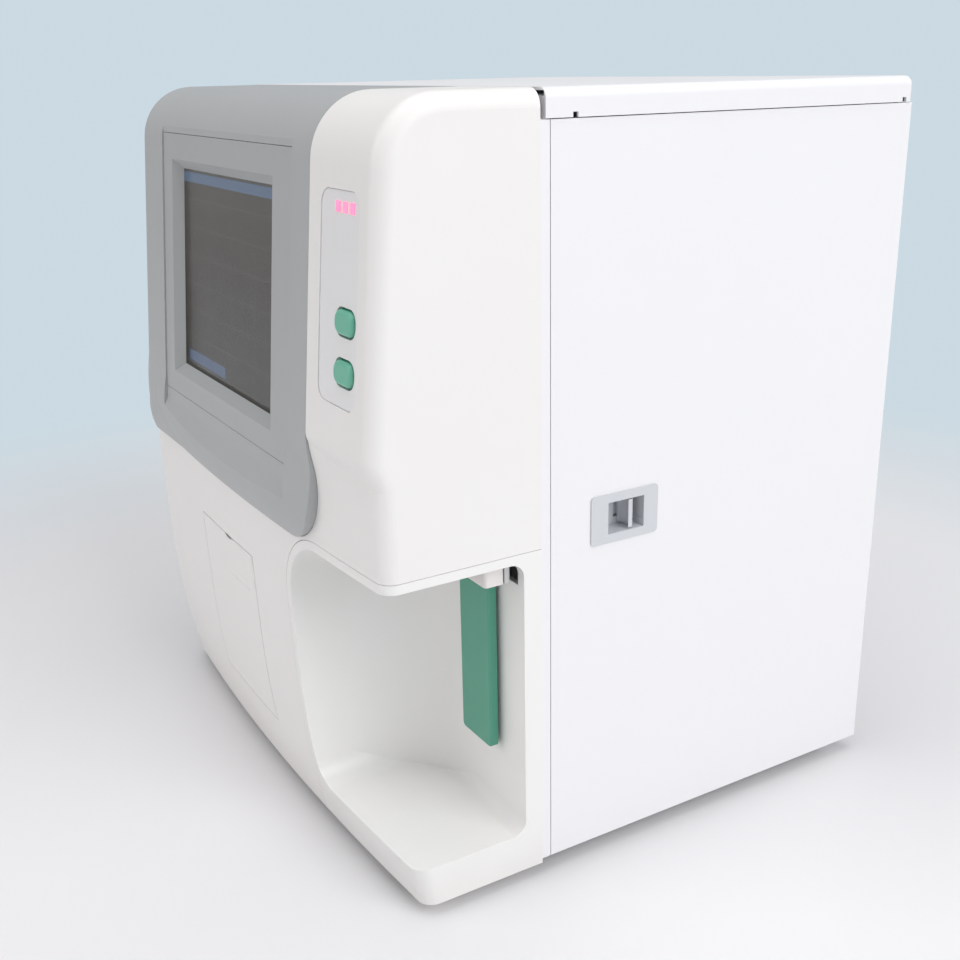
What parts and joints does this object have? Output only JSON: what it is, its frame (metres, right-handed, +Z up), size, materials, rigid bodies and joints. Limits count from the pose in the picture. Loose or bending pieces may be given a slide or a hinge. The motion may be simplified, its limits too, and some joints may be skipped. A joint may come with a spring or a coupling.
{
  "type": "hematology analyzer",
  "caption": "Benchtop blood cell analyzer: white cabinet with a bowed front, grey touchscreen hood, control strip, open sampling bay with a probe, built-in receipt printer and side door.",
  "frame": {"origin": "centre of the bounding box at the bench, under the feet", "axes": "+Z up, -Y towards the user at the front, +X to the user's right, the side with the bay and the service door"},
  "size_m": [0.38, 0.356, 0.4301],
  "materials": {
    "white_shell": "fine satin texture",
    "grey_shell": "fine satin texture",
    "strip_film": "satin film",
    "key_teal": "satin",
    "lamp_pink": "clear gloss",
    "touch_glass": "polished",
    "clear_plastic": "clear, polished",
    "display": "gloss",
    "sheet_steel": "zinc satin",
    "polished_steel": "polished",
    "aluminium": "satin",
    "white_block": "machined",
    "dark_plastic": "moulded",
    "circuit_board": "coated",
    "latch_grey": "moulded",
    "rubber": "matt",
    "paper": "smooth paper"
  },
  "bodies": {
    "cabinet": {"base_tray": "sheet_steel", "bay_liner": "white_shell", "bulkhead": "sheet_steel", "centre_plate": "sheet_steel", "control_strip": "strip_film", "counting_baths": "clear_plastic", "cross_rails": "polished_steel", "cross_screw": "polished_steel", "data_ports": "dark_plastic", "display_bracket": "sheet_steel", "display_module": "display", "fan_frame": "dark_plastic", "feet": "rubber", "fluid_shelf": "sheet_steel", "front_shell": "white_shell", "key_board": "circuit_board", "lamp_lens": "lamp_pink", "latch_strike": "sheet_steel", "left_panel": "white_shell", "lower_pivot": "sheet_steel", "main_board": "circuit_board", "paper_roll": "paper", "plate_bracket": "sheet_steel", "plate_pin": "polished_steel", "power_inlet": "dark_plastic", "power_supply": "sheet_steel", "print_head": "dark_plastic", "printer_body": "dark_plastic", "rail_bracket": "sheet_steel", "reagent_fittings": "white_block", "rear_panel": "white_shell", "screen_bezel": "grey_shell", "screen_hood": "grey_shell", "switch_frame": "dark_plastic", "syringe_barrels": "clear_plastic", "syringe_motors": "aluminium", "top_cover": "white_shell", "touch_glass": "touch_glass", "upper_pivot": "sheet_steel", "valve_bank": "aluminium"},
    "side_door": {"side_door": "white_shell", "latch_bezel": "latch_grey"},
    "door_latch": {"latch_slide": "latch_grey"},
    "paper_feed_key": {"paper_feed_key": "key_teal"},
    "sampling_key": {"sampling_key": "key_teal"},
    "start_plate": {"start_plate": "key_teal"},
    "printer_door": {"printer_door": "white_shell"},
    "platen_roller": {"platen_roller": "rubber"},
    "probe_frame": {"probe_frame": "aluminium", "cross_motor": "aluminium", "lift_rod": "polished_steel", "lift_screw": "polished_steel", "wash_block": "white_block"},
    "probe_carriage": {"probe_carriage": "white_block", "lift_motor": "aluminium", "sampling_probe": "polished_steel"},
    "fan_impeller": {"fan_impeller": "dark_plastic"},
    "power_switch": {"power_switch": "dark_plastic"},
    "sample_plunger": {"sample_plunger": "white_block"},
    "dilution_plunger": {"dilution_plunger": "white_block"}
  },
  "joints": [
    {"name": "side_door_hinge", "type": "hinge", "parent": "cabinet", "child": "side_door", "pos_m": [0.184, 0.172, 0.21], "axis": [0, 0, 1], "range_deg": [0, 100]},
    {"name": "door_latch_slide", "type": "slide", "parent": "side_door", "child": "door_latch", "axis": [0, 1, 0], "range_m": [0, 0.004], "stiffness_N_per_m": 300, "springref_m": -0.004},
    {"name": "paper_feed_key_press", "type": "slide", "parent": "cabinet", "child": "paper_feed_key", "axis": [0, 0.996, -0.0889], "range_m": [0, 0.0015], "stiffness_N_per_m": 600, "springref_m": -0.0005},
    {"name": "sampling_key_press", "type": "slide", "parent": "cabinet", "child": "sampling_key", "axis": [0, 0.996, -0.0889], "range_m": [0, 0.0015], "stiffness_N_per_m": 600, "springref_m": -0.0005},
    {"name": "start_plate_press", "type": "hinge", "parent": "cabinet", "child": "start_plate", "pos_m": [0.1498, -0.076, 0.16], "axis": [1, 0, 0], "range_deg": [0, 1.4], "stiffness_Nm_per_rad": 2, "springref_deg": -1.15},
    {"name": "printer_door_hinge", "type": "hinge", "parent": "cabinet", "child": "printer_door", "pos_m": [-0.0255, -0.1616, 0.0508], "axis": [1, 0, 0], "range_deg": [0, 80]},
    {"name": "platen_roller_spin", "type": "hinge", "parent": "printer_door", "child": "platen_roller", "pos_m": [-0.0255, -0.156, 0.112], "axis": [1, 0, 0], "continuous": true},
    {"name": "probe_cross_travel", "type": "slide", "parent": "cabinet", "child": "probe_frame", "axis": [0, 1, 0], "range_m": [0, 0.084]},
    {"name": "probe_lift_travel", "type": "slide", "parent": "probe_frame", "child": "probe_carriage", "axis": [0, 0, -1], "range_m": [0, 0.072]},
    {"name": "fan_spin", "type": "hinge", "parent": "cabinet", "child": "fan_impeller", "pos_m": [-0.09, 0.16, 0.3], "axis": [0, 1, 0], "continuous": true},
    {"name": "power_switch_rock", "type": "hinge", "parent": "cabinet", "child": "power_switch", "pos_m": [-0.15, 0.17, 0.082], "axis": [1, 0, 0], "range_deg": [0, 14]},
    {"name": "sample_plunger_travel", "type": "slide", "parent": "cabinet", "child": "sample_plunger", "axis": [0, 0, -1], "range_m": [0, 0.04]},
    {"name": "dilution_plunger_travel", "type": "slide", "parent": "cabinet", "child": "dilution_plunger", "axis": [0, 0, -1], "range_m": [0, 0.04]}
  ]
}
